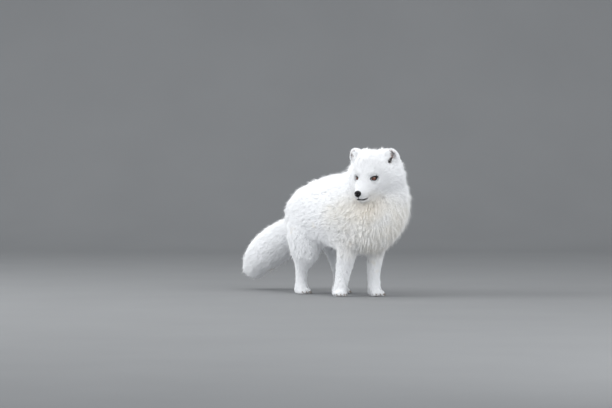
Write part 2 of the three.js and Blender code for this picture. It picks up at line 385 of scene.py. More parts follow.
FACE_FORMS = [  # middle (forward, to the side, up), size and height
    ((2, 19, 13), 6.5, 3.2),  # brow
    ((8, 12, -6), 5.0, -1.6),  # dip before the inner corner
    ((-4, 34, -16), 11.0, 3.0),  # cheekbone
    ((43, 13, -36), 7.0, 2.2),  # whisker pad
    ((50, 9, -39), 4.5, 1.2),  # upper lip
    ((46, 0, -53), 6.0, 1.5),  # chin
    ((-66, 31, 52), 11.0, 9.0),  # crown beside the ears
    ((-84, 66, 24), 13.0, 6.0),  # ruff under the ears
    ((-44, 56, 29), 5.0, -4.0),  # foot of the ear's opening
    ((-51, 60, 45), 5.0, -3.0),  # front of the ear's opening
]
normals = surface.normals(outside)
for (fore, side, rise), size, height in FACE_FORMS:
    for sign in ((1, -1) if side else (1,)):
        outside += swell(outside, (fore, side * sign, rise), size, height)[:, None] * normals
print("formed", len(FACE_FORMS), "swellings and hollows")

# %% [markdown]
# ## How deep the coat is
# A winter coat is not equally deep all over. It is about four centimetres deep on the mane,
# back and brush, but only three millimetres on the muzzle, and short on the legs and feet.
# Each solid gets its own depth, the head gets a rule that grows from the nose back, and the
# values are then spread over the surface like ink on wet paper, so that no step is left.

# %% The depth at every point
DEPTH = [("ear", 1.8), ("muzzle", 3), ("lower_jaw", 4), ("head", 10), ("neck", 28),
         ("tail", 27), ("forepaw", 4), ("hindpaw", 4), ("foreleg_left_lower", 6),
         ("foreleg_right_lower", 6), ("hindleg_left_lower", 6), ("hindleg_right_lower", 6),
         ("foreleg", 12), ("hindleg", 16), ("", 26)]


def head_depth(points):
    """Millimetres of fur on the head, by place."""
    x, y, z = in_head(points).T / MM
    depth = 3 + 4 * smooth(-x, -20, 8) + 4 * smooth(-x, 10, 55)
    cheek = smooth(np.abs(y), 30, 62) * smooth(-z, -15, 25) * smooth(-x, -5, 25)
    throat = smooth(-z, 52, 72) * smooth(-x, -25, 10)
    depth += 12 * np.maximum(cheek, throat)
    for name in EYES:
        far = np.linalg.norm(in_eye(name, points), axis=1) / MM
        depth = 2.6 + (depth - 2.6) * smooth(far, 11, 30)
    return depth


is_head = by_node([("head", 1), ("muzzle", 1), ("lower_jaw", 1), ("", 0)], owner) > 0.5
depth = by_node(DEPTH, owner)
depth[is_head] = head_depth(outside[is_head])
nearby = surface.spread(depth[:, None], 16)[:, 0]
hold = smooth(in_head(outside)[:, 0] / MM, -5, 20) * is_head
nearby += (head_depth(outside) - nearby) * hold
depth = np.minimum(nearby, surface.spread(depth[:, None], 160)[:, 0])
is_ear = by_node([("ear", 1), ("", 0)], owner) > 0.5
depth[is_ear] = np.minimum(depth[is_ear], 2.2)
depth = surface.spread(depth[:, None], 4)[:, 0]
print("fur from", round(depth.min(), 1), "to", round(depth.max(), 1), "mm deep")

# %% [markdown]
# ## From the coat's outside to the skin
# The skin is the same mesh moved inwards by the depth. Done in one go, points on a tight bend
# would cross, so it is done in small steps, and the mesh is relaxed a little after each, where
# the fur is deep. The points keep their order, which is useful later: every point of skin knows
# the spot on the coat's outside that lies above it.

# %% Move the points in
SINK_STEPS, CALM_ROUNDS = 14, 5
beneath = outside.copy()
calm = smooth(depth, 4, 14) * np.where(whole_face(outside), 0.9, 0.25)
calm = surface.spread(calm[:, None], 4)
for _ in range(SINK_STEPS):
    beneath -= surface.normals(beneath) * (depth * MM / SINK_STEPS)[:, None]
    for _ in range(CALM_ROUNDS):
        beneath += calm * (surface.average(beneath) - beneath)
set_points(skin.data, beneath)
gap = np.linalg.norm(outside - beneath, axis=1) / MM
print(f"skin lies {gap.min():.1f} to {gap.max():.1f} mm in, {time.time() - started:.0f} s so far")

# %% [markdown]
# ## Eyelids
# A fox's eye opens in a slanted almond with a dark bare rim. The film over each socket is
# drawn onto the ball all round the almond, which makes the lids, and pushed in behind the ball
# inside the almond, so that the ball shows. Points that lie close to the lid's edge are slid
# onto it, or the edge would look chewed.

# %% Shape the lids
ALMOND = {"half_width": 8.5, "upper": 5.4, "lower": 4.6, "tilt": math.radians(9)}
LID, BEHIND, LID_FADE = 0.9, 3.0, 17.0  # thickness, how far the film hides, and its reach


def almond(side, up):
    """1 on the edge of the eye's opening, less inside it and more outside."""
    turn = ALMOND["tilt"]
    across = side * math.cos(turn) + up * math.sin(turn)
    rise = up * math.cos(turn) - side * math.sin(turn)
    width = np.abs(across) / ALMOND["half_width"]
    height = np.abs(rise) / np.where(rise > 0, ALMOND["upper"], ALMOND["lower"])
    return (width ** 1.6 + height ** 1.6) ** (1 / 1.6)


def shape_lids(points, name):
    out, side, up = in_eye(name, points).T / MM
    near = np.hypot(side, up)
    edge = almond(side, up)
    front = (out > -2) & (near < LID_FADE)
    slide = front & (np.abs(edge - 1) < 0.09)
    side, up = np.where(slide, side / edge, side), np.where(slide, up / edge, up)
    near = np.hypot(side, up)
    ball = EYE_RADIUS / MM
    lid = np.sqrt(np.maximum((ball + LID) ** 2 - near ** 2, 4))
    hidden = np.sqrt(np.maximum((ball - BEHIND) ** 2 - near ** 2, 0))
    draw = 1 - smooth(near, 8.5, LID_FADE)
    new = np.where(edge < 0.97, hidden, np.maximum(out, 0) + (lid - np.maximum(out, 0)) * draw)
    new = np.where(front, new, out)
    moved = np.stack([new, side, up], 1) * MM @ eye_frame(name) + np.array(EYES[name])
    return np.where(front[:, None], moved, points)


for name in EYES:
    beneath = shape_lids(beneath, name)
set_points(skin.data, beneath)
print("lids shaped")

# %% [markdown]
# ## Lines laid on the skin
# The lips, and later the ears' openings, follow lines over the skin. A line is given by a few
# points in the head's frame, each is laid onto the nearest place of the skin, and the distance
# of every skin point from it tells what lies beside it. Fur on the lips is short, so the skin
# there is brought back out towards the coat's outside.

# %% Lay the mouth
def on_the_skin(path):
    """Points of a line in the head's frame, in millimetres, laid onto the skin."""
    tree = BVHTree.FromPolygons(beneath.tolist(), surface.faces.tolist())
    return [tree.find_nearest(head_place @ (Vector(point) * MM))[0] for point in path]


def beside(points, path):
    """The distance of each point from a line, in millimetres."""
    path = np.array(path)
    best = np.full(len(points), np.inf)
    for a, b in zip(path, path[1:]):
        t = np.clip(((points - a) @ (b - a)) / ((b - a) @ (b - a)), 0, 1)[:, None]
        best = np.minimum(best, np.linalg.norm(points - a - t * (b - a), axis=1))
    return best / MM


MOUTH = [(57, 0, -39.5), (54, 6, -42.5), (49, 11, -44), (42, 14.5, -45.5), (33, 18, -45),
         (23, 22, -42), (12, 27, -38)]


def lay_mouth():
    return {side: on_the_skin([(x, y * sign, z) for x, y, z in MOUTH])
            for side, sign in SIDES.items()}


mouth = lay_mouth()
lip = np.minimum(beside(beneath, mouth["left"]), beside(beneath, mouth["right"]))
front = smooth(in_head(beneath)[:, 0] / MM, 18, 40)
beneath += (outside - beneath) * (0.65 * (1 - smooth(lip, 2, 7)) * front)[:, None]
set_points(skin.data, beneath)
mouth = lay_mouth()
print("the mouth is laid, with", int((lip < 2).sum()), "points on the lips")

# %% [markdown]
# ## Bare dark skin
# Around the eyes, at the tear corner and along the front of the lips the skin is black and
# bare. These places are kept as values on the skin's points, where the skin's finish and the
# combing of the coat can both read them.

# %% Mark the bare skin
bare = np.zeros(surface.count)
for name in EYES:
    out, side, up = in_eye(name, beneath).T / MM
    rim = 1 - smooth(almond(side, up), 1.35, 1.62)
    tear = 1 - smooth(np.hypot(side + 10.6, (up + 2.9) * 1.4), 2.0, 3.6)
    bare = np.maximum(bare, np.maximum(rim, tear) * (out > 0))
    lip = beside(beneath, mouth[name])
    x = in_head(beneath)[:, 0] / MM
    wide = 1 + 0.8 * smooth(x, 42, 50)
    bare = np.maximum(bare, (1 - smooth(lip / wide, 1.3, 2.4)) * smooth(x, 28, 44))
print("bare skin on", int((bare > 0.5).sum()), "points")

# %% [markdown]
# ## Inside the ears
# The bowl of a fox's ear is greyish pink under thin hair. Its canal lies deep in shade and is
# painted near black. A painted shadow runs from it down and forward to the ear's foot, widest at the
# bottom, where the opening lies in shade against the skull. Each ear gets a frame of its own, in
# which the bowl and the canal are ovals; the shadow follows a line on the skin.


# %% Mark the ears
EAR = {"forward": -64, "apart": 52, "height": 31}
EAR_TURN, EAR_LEAN = math.radians(15), math.radians(11)


def ear_place(name):
    """Out of the ear's opening, across it, and up to its tip."""
    sign = SIDES[name]
    middle = Vector((EAR["forward"], sign * EAR["apart"], EAR["height"])) * MM
    turn = Matrix.Rotation(sign * EAR_TURN, 4, "Z") @ Matrix.Rotation(-sign * EAR_LEAN, 4, "X")
    return head_place @ Matrix.Translation(middle) @ turn


def in_ear(name, points):
    place = ear_place(name)
    return (points - np.array(place.translation)) @ np.array(place.to_3x3())


EAR_SLIT = [(-54, 57, 54), (-50, 60, 44), (-46, 58, 36), (-42, 55, 28)]  # in the head's frame
ear_inside, ear_painted_shade, ear_front = np.zeros((3, surface.count))
facing = surface.normals(beneath)
for name in SIDES:
    x, y, z = in_ear(name, beneath).T / MM
    bowl = 1 - smooth(np.hypot(y / 17, (z - 2) / 29), 0.75, 1.05)
    opening = facing @ np.array(ear_place(name).col[0].to_3d())
    mine = by_node([(f"ear_{name}", 1), ("", 0)], owner)
    ear_inside = np.maximum(ear_inside, bowl * smooth(opening, 0.0, 0.5) * mine)
    # Painted shade: the deep canal, near black.
    canal = 1 - smooth(np.hypot((y * SIDES[name] + 6) / 4.5, (z + 6) / 12), 0.7, 1.15)
    ear_painted_shade = np.maximum(ear_painted_shade, canal * smooth(opening, -0.2, 0.3) * mine)
    slit = on_the_skin([(fore, side * SIDES[name], rise) for fore, side, rise in EAR_SLIT])
    from_slit = beside(beneath, slit)
    narrow = 1 + 1.3 * smooth(in_head(beneath)[:, 2] / MM, 34, 50)
    # Painted shadow along the line below the ear, widest at the bottom.
    ear_painted_shade = np.maximum(ear_painted_shade, 1 - smooth(from_slit * narrow, 4.8, 6.6))
    ear_inside = np.maximum(ear_inside, 1 - smooth(from_slit, 5, 9))
    ear_front = np.maximum(ear_front, 1 - smooth(from_slit, 8, 18))
print("inside of the ears on", int((ear_inside > 0.5).sum()), "points")

# %% [markdown]
# ## Markings shared by skin and coat
# A white winter fox isn't one flat white. The back is cool and clean. The breast is cream, partly
# its own colour and partly a painted shade where it lies under the head and neck. Under the chin a
# darker, warmer patch is a painted shade where the jaw shadows the throat, and small stains come and
# go. The skin's short hair and the long coat must show the same marks in the same places, so the
# marks are one node group that reads the place on the body, and both finishes use it.


# %% Build the markings group
def group(name, inputs, outputs):
    """An empty shader node group with its two ends."""
    tree = bpy.data.node_groups.new(name, "ShaderNodeTree")
    for label, kind, default in inputs:
        socket = tree.interface.new_socket(label, in_out="INPUT", socket_type=kind)
        if default is not None:
            socket.default_value = default
    for label, kind in outputs:
        tree.interface.new_socket(label, in_out="OUTPUT", socket_type=kind)
    return tree, tree.nodes.new("NodeGroupInput"), tree.nodes.new("NodeGroupOutput")


def noise(tree, place, scale, detail=3.0, stretch=None):
    """Noise on a place, with the place stretched first where asked."""
    if stretch:
        mapping = tree.nodes.new("ShaderNodeMapping")
        mapping.inputs["Scale"].default_value = stretch
        tree.links.new(place, mapping.inputs["Vector"])
        place = mapping.outputs["Vector"]
    node = tree.nodes.new("ShaderNodeTexNoise")
    node.inputs["Scale"].default_value = scale
    node.inputs["Detail"].default_value = detail
    tree.links.new(place, node.inputs["Vector"])
    return node.outputs["Fac"]


def ramp(tree, value, low, high, to_low=0.0, to_high=1.0):
    """An even slope between two values of a socket."""
    node = tree.nodes.new("ShaderNodeMapRange")
    node.interpolation_type = "SMOOTHSTEP"
    for label, number in (("From Min", low), ("From Max", high), ("To Min", to_low),
                          ("To Max", to_high)):
        node.inputs[label].default_value = number
    tree.links.new(value, node.inputs["Value"])
    return node.outputs["Result"]


def sums(tree, operation, a, b):
    """One step of arithmetic on two sockets or numbers."""
    node = tree.nodes.new("ShaderNodeMath")
    node.operation = operation
    for socket, value in zip(node.inputs, (a, b)):
        if isinstance(value, (int, float)):
            socket.default_value = value
        else:
            tree.links.new(value, socket)
    return node.outputs["Value"]


def blend(tree, amount, a, b, way="MIX"):
    """A colour mix; a and b are sockets or colours."""
    node = tree.nodes.new("ShaderNodeMix")
    node.data_type, node.blend_type = "RGBA", way
    for label, value in (("Factor", amount), ("A", a), ("B", b)):
        socket = [s for s in node.inputs if s.name == label and s.enabled][0]
        if isinstance(value, (int, float)):
            socket.default_value = value
        elif isinstance(value, tuple):
            socket.default_value = (*value, 1)
        else:
            tree.links.new(value, socket)
    return [s for s in node.outputs if s.enabled][0]


# The stain colour paints both the small stains and a painted shade under the chin; the cream is
# partly a painted shade on the breast.
COOL_WHITE, CREAM_AND_SHADE, STAIN_AND_SHADE = (0.98, 0.984, 0.99), (0.962, 0.945, 0.905), (0.93, 0.88, 0.79)
# Middle of the painted shade under the chin.
THROAT = tuple(head_place @ Vector((0.006, 0, -0.078)))
markings, start, end = group(
    "winter markings",
    [("Place", "NodeSocketVector", None), ("Cream and shade", "NodeSocketFloat", 1.0),
     ("Stains", "NodeSocketFloat", 1.0)],
    [("Colour", "NodeSocketColor")])
parts = markings.nodes.new("ShaderNodeSeparateXYZ")
markings.links.new(start.outputs["Place"], parts.inputs["Vector"])
patchy = noise(markings, start.outputs["Place"], 14.0)
# Cream low on the breast: partly the coat's own colour and partly a painted shade under the head and
# neck.
low = ramp(markings, parts.outputs["Z"], 0.22, 0.31, 1.0, 0.0)
low = sums(markings, "MULTIPLY", low, ramp(markings, parts.outputs["Z"], 0.08, 0.13))
low = sums(markings, "MULTIPLY", low, ramp(markings, patchy, 0.3, 0.75, 0.25, 1.0))
fore = ramp(markings, parts.outputs["X"], 0.1, 0.22, 0.0, 1.0)
low = sums(markings, "MULTIPLY", sums(markings, "MULTIPLY", low, fore), start.outputs["Cream and shade"])
colour = blend(markings, low, COOL_WHITE, CREAM_AND_SHADE)
throat = markings.nodes.new("ShaderNodeVectorMath")
throat.operation = "DISTANCE"
throat.inputs[1].default_value = THROAT
markings.links.new(start.outputs["Place"], throat.inputs[0])
# Painted shade under the chin: darker and warmer round the throat, where the jaw shadows it.
wear_and_shade = ramp(markings, throat.outputs["Value"], 0.02, 0.06, 0.45, 0.0)
wear_and_shade = sums(markings, "MULTIPLY", wear_and_shade, start.outputs["Cream and shade"])
colour = blend(markings, wear_and_shade, colour, STAIN_AND_SHADE)
spots = noise(markings, start.outputs["Place"], 23.0, 2.0)
spots = sums(markings, "MULTIPLY", ramp(markings, spots, 0.66, 0.76), start.outputs["Stains"])
spots = sums(markings, "MULTIPLY", spots, ramp(markings, parts.outputs["Z"], 0.16, 0.3, 0.6, 0.1))
markings.links.new(blend(markings, spots, colour, STAIN_AND_SHADE), end.inputs["Colour"])
print("the markings group has", len(markings.nodes), "nodes")

# %% [markdown]
# ## Fine hair as a bump
# Hair that lies flat and is shorter than a few millimetres is too fine to model. It shows as
# a faint grain that is long in the lie of the coat and narrow across it. Leather has a grain
# too, of small round pebbles. Both grains are heights, made once as groups.

# %% Build the two grain groups
hair_grain, start, end = group(
    "fine hair grain", [("Place", "NodeSocketVector", None), ("Depth", "NodeSocketFloat", 1.0)],
    [("Height", "NodeSocketFloat")])
strands = noise(hair_grain, start.outputs["Place"], 1.0, 4.0, (1500, 1500, 420))
strands = sums(hair_grain, "MULTIPLY", strands, start.outputs["Depth"])
hair_grain.links.new(strands, end.inputs["Height"])

pebbles, start, end = group(
    "pebbled skin", [("Place", "NodeSocketVector", None), ("Scale", "NodeSocketFloat", 900.0)],
    [("Height", "NodeSocketFloat")])
cells = pebbles.nodes.new("ShaderNodeTexVoronoi")
cells.feature = "SMOOTH_F1"
pebbles.links.new(start.outputs["Place"], cells.inputs["Vector"])
pebbles.links.new(start.outputs["Scale"], cells.inputs["Scale"])
pebbles.links.new(sums(pebbles, "SUBTRACT", 1.0, cells.outputs["Distance"]), end.inputs["Height"])
print("grain groups made")

# %% [markdown]
# ## Finishes of fur and skin
# A lock is palest at its tip and a little greyer at its root, because less light reaches down there,
# and no two locks are the same white. White hair passes nearly all its light on, so the whites here
# are very pale. On the head, where the hair is short, coat and skin are dulled by a painted shade.
# It is strongest at the front of the face and weaker on the cheeks, so that the face, which catches
# the light more fully than the deep coat, is no brighter than the body; a value on the points
# carries it. The skin takes the same markings, then turns black and moist round the eyes and lips,
# and greyish pink inside the ears.


# %% Mix the fur and the skin
def finish(name, roughness=None, **constants):
    """A material, its tree, its shader and the place on the body."""
    material = bpy.data.materials.new(name)
    material.use_nodes = True
    tree = material.node_tree
    shader = tree.nodes["Principled BSDF"]
    if roughness is not None:
        shader.inputs["Roughness"].default_value = roughness
    for label, value in constants.items():
        shader.inputs[label.replace("_", " ")].default_value = value
    place = tree.nodes.new("ShaderNodeTexCoord").outputs["Object"]
    return material, tree, shader, place


def use(tree, kind, place, **values):
    """One of the groups, placed in a material with its own values."""
    node = tree.nodes.new("ShaderNodeGroup")
    node.node_tree = kind
    tree.links.new(place, node.inputs["Place"])
    for label, value in values.items():
        node.inputs[label].default_value = value
    return node.outputs[0]


def stored(tree, label):
    """A value that is kept on the mesh's points."""
    node = tree.nodes.new("ShaderNodeAttribute")
    node.attribute_name = label
    return node.outputs["Fac"]


def bump(tree, shader, height, distance, strength):
    """A height turned into a bump of a distance in metres."""
    node = tree.nodes.new("ShaderNodeBump")
    node.inputs["Strength"].default_value = strength
    node.inputs["Distance"].default_value = distance
    tree.links.new(height, node.inputs["Height"])
    tree.links.new(node.outputs["Normal"], shader.inputs["Normal"])


def shaded_white(tree, place, shade):
    """The winter markings, dulled by a shade."""
    grey = tree.nodes.new("ShaderNodeCombineColor")
    for label in ("Red", "Green", "Blue"):
        tree.links.new(shade, grey.inputs[label])
    return blend(tree, 1.0, use(tree, markings, place), grey.outputs["Color"], "MULTIPLY")


COAT, tree, shader, place = finish("winter coat", 0.72, Specular_IOR_Level=0.2)
# Painted shade on the face, with some random tone, read from a value on the points; then greyer at
# the root.
shade = ramp(tree, stored(tree, "shade_and_tone"), 0.0, 1.0, 0.935, 1.0)
shade = sums(tree, "MULTIPLY", shade, ramp(tree, stored(tree, "along"), 0.1, 0.7, 0.96, 1.0))
tree.links.new(shaded_white(tree, place, shade), shader.inputs["Base Color"])

SKIN, tree, shader, place = finish("fox skin")
# The skin's white, dulled more by the painted shade on the face.
face_shaded_skin = shaded_white(tree, place, ramp(tree, stored(tree, "shade_and_tone"), 0.0, 1.0, 0.86, 0.94))
mottle = noise(tree, place, 160.0)
pink = blend(tree, mottle, (0.5, 0.36, 0.33), (0.36, 0.27, 0.26))
tinted = blend(tree, stored(tree, "ear_inside"), face_shaded_skin, pink)
# Painted shade, near black, in the ears' canals and along the lines below them.
tinted = blend(tree, stored(tree, "ear_painted_shade"), tinted, (0.03, 0.024, 0.024))
black = blend(tree, mottle, (0.012, 0.010, 0.011), (0.03, 0.024, 0.024))
tree.links.new(blend(tree, stored(tree, "bare"), tinted, black), shader.inputs["Base Color"])
tree.links.new(ramp(tree, stored(tree, "bare"), 0.0, 1.0, 0.8, 0.38), shader.inputs["Roughness"])
bump(tree, shader, use(tree, hair_grain, place), 0.6 * MM, 0.6)
print("mixed", COAT.name, "and", SKIN.name)

# %% [markdown]
# ## The skin is ready
# The skin's values are stored on its points, and it stands in for all the solids of flesh.

# %% Finish the skin
skin.data.polygons.foreach_set("use_smooth", np.ones(len(skin.data.polygons), bool))
skin.data.materials.clear()
skin.data.materials.append(SKIN)
x, y, z = in_head(outside).T / MM
# Painted shade on the head: none on the body, most at the front of the face, less on the cheeks.
clear_of_face_shade = 1 - smooth(x, -70, 0) * is_head * (1 - 0.6 * smooth(np.abs(y), 40, 64))
for label, values in (("bare", bare), ("ear_inside", ear_inside), ("ear_painted_shade", ear_painted_shade),
                      ("shade_and_tone", clear_of_face_shade)):
    attribute = skin.data.attributes.new(label, "FLOAT", "POINT")
    attribute.data.foreach_set("value", values.astype(np.float32))
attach(skin, "root")
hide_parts(*flesh)
print("the skin replaces", len(flesh), "solids")

# %% [markdown]
# ## The lie of the coat
# Hair grows at a slant, and every part of an animal is combed its own way: back from the nose,
# down the cheeks and legs, back along the trunk, out along the brush. Each solid gets a plain
# rule for its direction, the directions are spread over the surface as the depths were, and
# what points into or out of the surface is taken away.

# %% Comb the surface
TAIL_LINE = Vector((-0.86, -0.1, -0.5))
PAW_TURNS = {"forepaw_right": -20, "forepaw_left": -6, "hindpaw_right": -6, "hindpaw_left": 4}


def head_lie(points):
    """Back from the nose, and down under the jaw and on the cheeks."""
    away = unit(points - np.array(NOSE + HEAD_FORWARD * 0.012))
    x, y, z = in_head(points).T / MM
    fall = (smooth(-z, 0, 60) * 0.5 + smooth(np.abs(y), 30, 70) * 0.35)[:, None]
    return unit(away - np.array(HEAD_FORWARD) * 0.35) + fall * [0, 0, -1]


def neck_lie(points):
    """Away from the face all round, and pulled down by weight."""
    face = np.array(head_place.translation - HEAD_FORWARD * 0.02 - HEAD_UP * 0.03)
    return unit(points - face) * 0.75 + np.array([-0.3, 0, -0.85])


def constant(x, y, z):
    return lambda points: np.tile([x, y, z], (len(points), 1))


def paw_lie(node):
    angle = math.radians(PAW_TURNS[node])
    return constant(0.8 * math.cos(angle), 0.8 * math.sin(angle), -0.55)


LIE = [("ear_left", constant(*(HEAD_UP + HEAD_LEFT * 0.35))),
       ("ear_right", constant(*(HEAD_UP - HEAD_LEFT * 0.35))),
       ("head", head_lie), ("muzzle", head_lie), ("lower_jaw", head_lie), ("neck", neck_lie),
       ("tail", constant(*TAIL_LINE)), ("rump", constant(-1, 0, -0.45)),
       ("hindleg", constant(-0.3, 0, -1)), ("foreleg", constant(-0.12, 0, -1)),
       *((node, paw_lie(node)) for node in PAW_TURNS), ("", constant(-1, 0, -0.38))]

normals = surface.normals(outside)
lie = np.zeros_like(outside)
for k, node in enumerate(flesh):
    here = owner == k
    rule = next(rule for start, rule in LIE if node.startswith(start))
    lie[here] = unit(rule(outside[here]))
lie = surface.spread(lie, 12)
print("combed", surface.count, "points")

# %% [markdown]
# ## Where fur grows, and how short
# No hair grows on the bare skin, the lips, the groove under the nose or the ear's canal. Round
# the eyes it is short and grows away from the eye on every side, in the ears it is thin and
# grows outwards, and on the muzzle it is half as long as elsewhere.

# %% Keep bare skin clear
furred = 1 - smooth(np.maximum(bare, 0), 0.2, 0.6)
furred *= (1 - 0.75 * ear_inside) * (1 - smooth(ear_painted_shade, 0.15, 0.5))
x, y, z = in_head(outside).T / MM
lips_near = np.minimum(beside(beneath, mouth["left"]), beside(beneath, mouth["right"]))
lip_gap = smooth(lips_near / (1 + 0.5 * smooth(x, 30, 44)), 2.8, 4.2)
furred *= np.maximum(lip_gap, 1 - smooth(x, 20, 36))
furred *= np.maximum(smooth(np.abs(y), 1.6, 2.8), 1 - smooth(x, 46, 52) * smooth(-z, 26, 30))
brevity = (1 - 0.5 * smooth(x, 12, 42)) * (1 - 0.5 * ear_front)
furred *= smooth(np.linalg.norm(in_head(outside) / MM - [57, 0, -24.5], axis=1), 8.5, 10.5)
for name in EYES:
    local = in_eye(name, outside)
    from_eye = np.linalg.norm(local, axis=1) / MM
    opening = almond(local[:, 1] / MM, local[:, 2] / MM)
    furred *= np.where((local[:, 0] > 0) & (from_eye < 22), smooth(opening, 1.35, 1.65), 1)
    brevity *= 0.6 + 0.4 * smooth(from_eye, 14, 30)
    around = (1 - smooth(from_eye, 13, 24))[:, None]
    apart = local[:, 1:] @ eye_frame(name)[1:]
    lie += unit(apart) * around * 0.9
for name in SIDES:
    lateral = np.array(ear_place(name).col[1].to_3d()) * SIDES[name]
    lie += (lateral + np.array(HEAD_UP) * 0.5) * (ear_inside * is_ear)[:, None] * 1.5
lie += np.array(HEAD_UP) * (ear_front * ~is_ear)[:, None] * 1.5
print("fur grows on", int((furred > 0.5).sum()), "points")

# %% [markdown]
# ## An unwrap for colours
# A baked colour map needs a flat layout of the skin. The skin is unwrapped by its own shape,
# and every lock of fur will later take a tiny patch of that layout, at the place where it is
# rooted, so that coat and skin share one map of markings.

# %% Unwrap the skin
bpy.context.view_layer.objects.active = skin
skin.select_set(True)
skin.data.uv_layers.new(name="OFBake")
bpy.ops.object.mode_set(mode="EDIT")
bpy.ops.mesh.select_all(action="SELECT")
bpy.ops.uv.smart_project(angle_limit=math.radians(75), island_margin=0.002)
bpy.ops.object.mode_set(mode="OBJECT")
skin.select_set(False)
skin.data.calc_loop_triangles()
corners = np.empty(len(skin.data.loop_triangles) * 3, np.int32)
skin.data.loop_triangles.foreach_get("loops", corners)
flat = np.empty(len(skin.data.loops) * 2, np.float32)
skin.data.uv_layers["OFBake"].data.foreach_get("uv", flat)
unwrapped = flat.reshape(-1, 2)[corners.reshape(-1, 3)]
print(f"unwrapped, {time.time() - started:.0f} s so far")

# %% [markdown]
# ## One lock of fur
# A lock is a thin three-sided spike with a flat back, closed at its root and drawn to a point.
# One is made here and measured, and every other lock is that same spike bent along a hair
# path. Three sides are enough, because a lock is narrower than a grain of rice and there are
# about a hundred and fifty thousand of them.


# %% Make the unit lock
def unit_lock(waist):
    """Points (across, over, along) and faces of a spike that can bend at its waist."""
    bm = bmesh.new()
    bmesh.ops.create_cone(bm, cap_ends=True, segments=3, radius1=1, radius2=1, depth=1)
    bmesh.ops.translate(bm, verts=bm.verts, vec=(0, 0, 0.5))
    everything = bm.verts[:] + bm.edges[:] + bm.faces[:]
    bmesh.ops.bisect_plane(bm, geom=everything, plane_co=(0, 0, waist), plane_no=(0, 0, 1))
    top = [v for v in bm.verts if v.co.z > 0.999]
    bmesh.ops.pointmerge(bm, verts=top, merge_co=(0, 0, 1))
    bmesh.ops.triangulate(bm, faces=bm.faces)
    bmesh.ops.recalc_face_normals(bm, faces=bm.faces)
    bm.verts.index_update()
    points = np.array([v.co for v in bm.verts])
    faces = np.array([[v.index for v in f.verts] for f in bm.faces])
    bm.free()
    return points, faces


LOCK_WAIST, LOCK_FLATNESS = 0.55, 0.4
LOCK_WIDTHS = ([0, LOCK_WAIST, 1], [0.55, 1.0, 0.0])
LOCK_POINTS, LOCK_FACES = unit_lock(LOCK_WAIST)
print("a lock has", len(LOCK_POINTS), "points and", len(LOCK_FACES), "faces")

# %% [markdown]
# ## Roots
# Roots are scattered over the skin at random, more of them where the skin is wide and furred.
# A root remembers its triangle and its place in it. Since skin and coat's outside have the same
# triangles, that gives its place on both, and any value that is stored on the skin's points.

# %% Scatter roots
triangle_area = np.linalg.norm(np.cross(
    outside[surface.faces[:, 1]] - outside[surface.faces[:, 0]],
    outside[surface.faces[:, 2]] - outside[surface.faces[:, 0]]), axis=1)


def scatter(share, count):
    """Random places on the triangles: their index and the weights of their corners."""
    pile = np.cumsum(triangle_area * share * furred[surface.faces].mean(1))
    chosen = np.searchsorted(pile, chance.random(count) * pile[-1])
    a, b = chance.random((2, count))
    fold = a + b > 1
    a[fold], b[fold] = 1 - a[fold], 1 - b[fold]
    return chosen, np.stack([1 - a - b, a, b], 1)


def at(values, chosen, weights):
    """The values of the skin's points, read at the roots."""
    corners = values[surface.faces[chosen]]
    if corners.ndim == 2:
        return (corners * weights).sum(1)
    return (corners * weights[:, :, None]).sum(1)


print(f"{triangle_area.sum() / 2:.2f} square metres of coat")

# %% [markdown]
# ## From paths to a mesh
# A lock's path is a curve with four handles, from the root to the tip. The unit lock is bent
# along it, its flat back towards the body. All locks of a piece go into one mesh, because
# thousands of small objects would be slow. Their faces are left flat: smoothed shading on such
# thin spikes swallows light at each bounce, and a white coat would come out grey. On the colour
# map a lock is a tiny patch round the place of its root.


# %% Bend locks along their paths
ROOM_ABOVE_FLOOR = 0.4 * MM
PATCH = 0.003


def lock_mesh(name, where, place, shade_and_tone, along):
    """All the locks of one piece as a single mesh."""
    count, each = where.shape[:2]
    corners = (LOCK_FACES[None] + np.arange(count)[:, None, None] * each).reshape(-1)
    mesh = bpy.data.meshes.new(name)
    mesh.vertices.add(count * each)
    mesh.vertices.foreach_set("co", where.astype(np.float32).ravel())
    mesh.loops.add(len(corners))
    mesh.loops.foreach_set("vertex_index", corners.astype(np.int32))
    mesh.polygons.add(len(corners) // 3)
    mesh.polygons.foreach_set("loop_start", np.arange(0, len(corners), 3, dtype=np.int32))
    mesh.update(calc_edges=True)
    mesh.polygons.foreach_set("use_smooth", np.zeros(len(corners) // 3, bool))
    layer = mesh.uv_layers.new(name="OFBake")
    layer.data.foreach_set("uv", place.reshape(-1, 2)[corners].astype(np.float32).ravel())
    for label, values in (("shade_and_tone", shade_and_tone), ("along", along)):
        attribute = mesh.attributes.new(label, "FLOAT", "POINT")
        attribute.data.foreach_set("value", values.astype(np.float32).ravel())
    piece = bpy.data.objects.new(name, mesh)
    bpy.context.scene.collection.objects.link(piece)
    mesh.materials.append(COAT)
    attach(piece, "root")
    print(name, count, "locks,", len(corners) // 3, "triangles,", f"{time.time() - started:.0f} s")
    return piece


